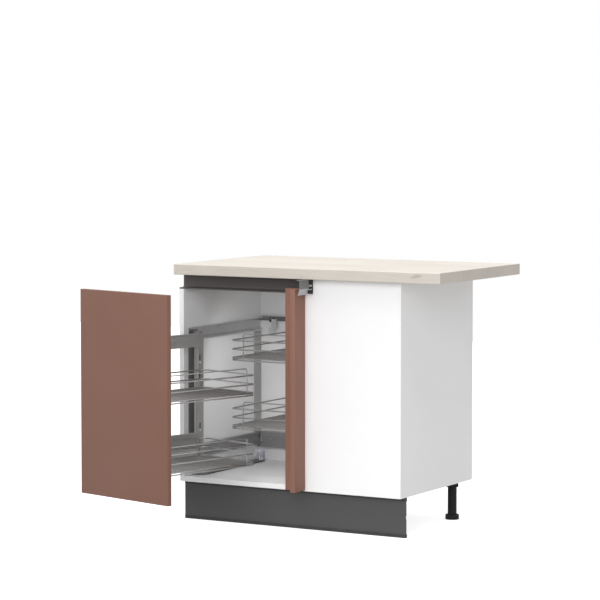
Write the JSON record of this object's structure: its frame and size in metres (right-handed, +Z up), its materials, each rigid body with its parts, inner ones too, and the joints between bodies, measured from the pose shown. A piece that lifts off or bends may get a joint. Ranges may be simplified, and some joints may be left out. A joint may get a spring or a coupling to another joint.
{
  "type": "corner base cabinet",
  "caption": "Blind-corner kitchen base cabinet with worktop, plinth and a pull-out front that swings while wire baskets follow from the corner.",
  "frame": {"origin": "front bottom left corner of the carcass, where the outer face of the left side panel, the front plane and the underside meet; the floor is 140 mm below it", "axes": "+X runs right along the front, +Y runs back into the cabinet, +Z is up"},
  "size_m": [1.1991, 1.1492, 0.928],
  "materials": {
    "white_board": "satin",
    "white_back": "satin",
    "worktop_oak": "matte",
    "terracotta": "matte",
    "anthracite_profile": "matte",
    "plinth_anthracite": "matte",
    "seal_black": "matte",
    "black_plastic": "satin",
    "mill_aluminium": "satin",
    "zinc_steel": "satin",
    "dark_steel": "satin",
    "grey_steel": "satin",
    "chrome_wire": "gloss",
    "nylon_black": "satin"
  },
  "bodies": {
    "cabinet": {"side_left": "white_board", "side_right": "white_board", "bottom_panel": "white_board", "back_panel": "white_back", "stretcher_front": "white_board", "stretcher_rear": "white_board", "blind_panel": "white_board", "worktop": "worktop_oak", "plinth_board": "plinth_anthracite", "plinth_seals": "seal_black", "plinth_clips": "black_plastic", "leg_sockets": "black_plastic", "leg_tubes": "black_plastic", "leg_feet": "black_plastic", "grip_main": "anthracite_profile", "grip_return_run": "mill_aluminium", "grip_connector": "black_plastic", "post_board_a": "terracotta", "post_board_b": "terracotta", "channel_top": "zinc_steel", "channel_bottom": "zinc_steel", "upright_front": "dark_steel", "upright_rear": "grey_steel", "corner_foot": "zinc_steel", "back_channel": "dark_steel", "back_runner": "dark_steel", "channel_screws": "zinc_steel"},
    "carriage": {"carriage_top": "zinc_steel", "carriage_bottom": "zinc_steel", "hinge_pins": "zinc_steel"},
    "swing_frame": {"hinge_post": "grey_steel", "beam_top": "grey_steel", "beam_bottom": "grey_steel", "door_upright": "grey_steel", "door_brackets": "zinc_steel", "door_screws": "zinc_steel", "door": "terracotta", "basket_supports": "grey_steel", "hook_screws": "zinc_steel", "basket_front_lower": "chrome_wire", "basket_front_upper": "chrome_wire"},
    "rear_frame": {"rear_bar": "dark_steel", "rear_rollers": "nylon_black", "rear_hanger": "zinc_steel", "rear_uprights": "grey_steel", "rear_shoes": "nylon_black", "rear_supports": "grey_steel", "basket_rear_lower": "chrome_wire", "basket_rear_upper": "chrome_wire"}
  },
  "joints": [
    {"name": "front_slide", "type": "slide", "parent": "cabinet", "child": "carriage", "axis": [0, 1, 0], "range_m": [0, 0.448]},
    {"name": "front_swing", "type": "hinge", "parent": "carriage", "child": "swing_frame", "pos_m": [0.054, 0.047, 0.33], "axis": [0, 0, 1], "range_deg": [0, 15]},
    {"name": "rear_slide", "type": "slide", "parent": "cabinet", "child": "rear_frame", "axis": [1, 0, 0], "range_m": [0, 0.375]}
  ],
  "couplings": [
    {"joint": "front_swing", "follows": "front_slide", "rad_per_m": 0.58437},
    {"joint": "rear_slide", "follows": "front_slide", "ratio": 0.83705}
  ]
}
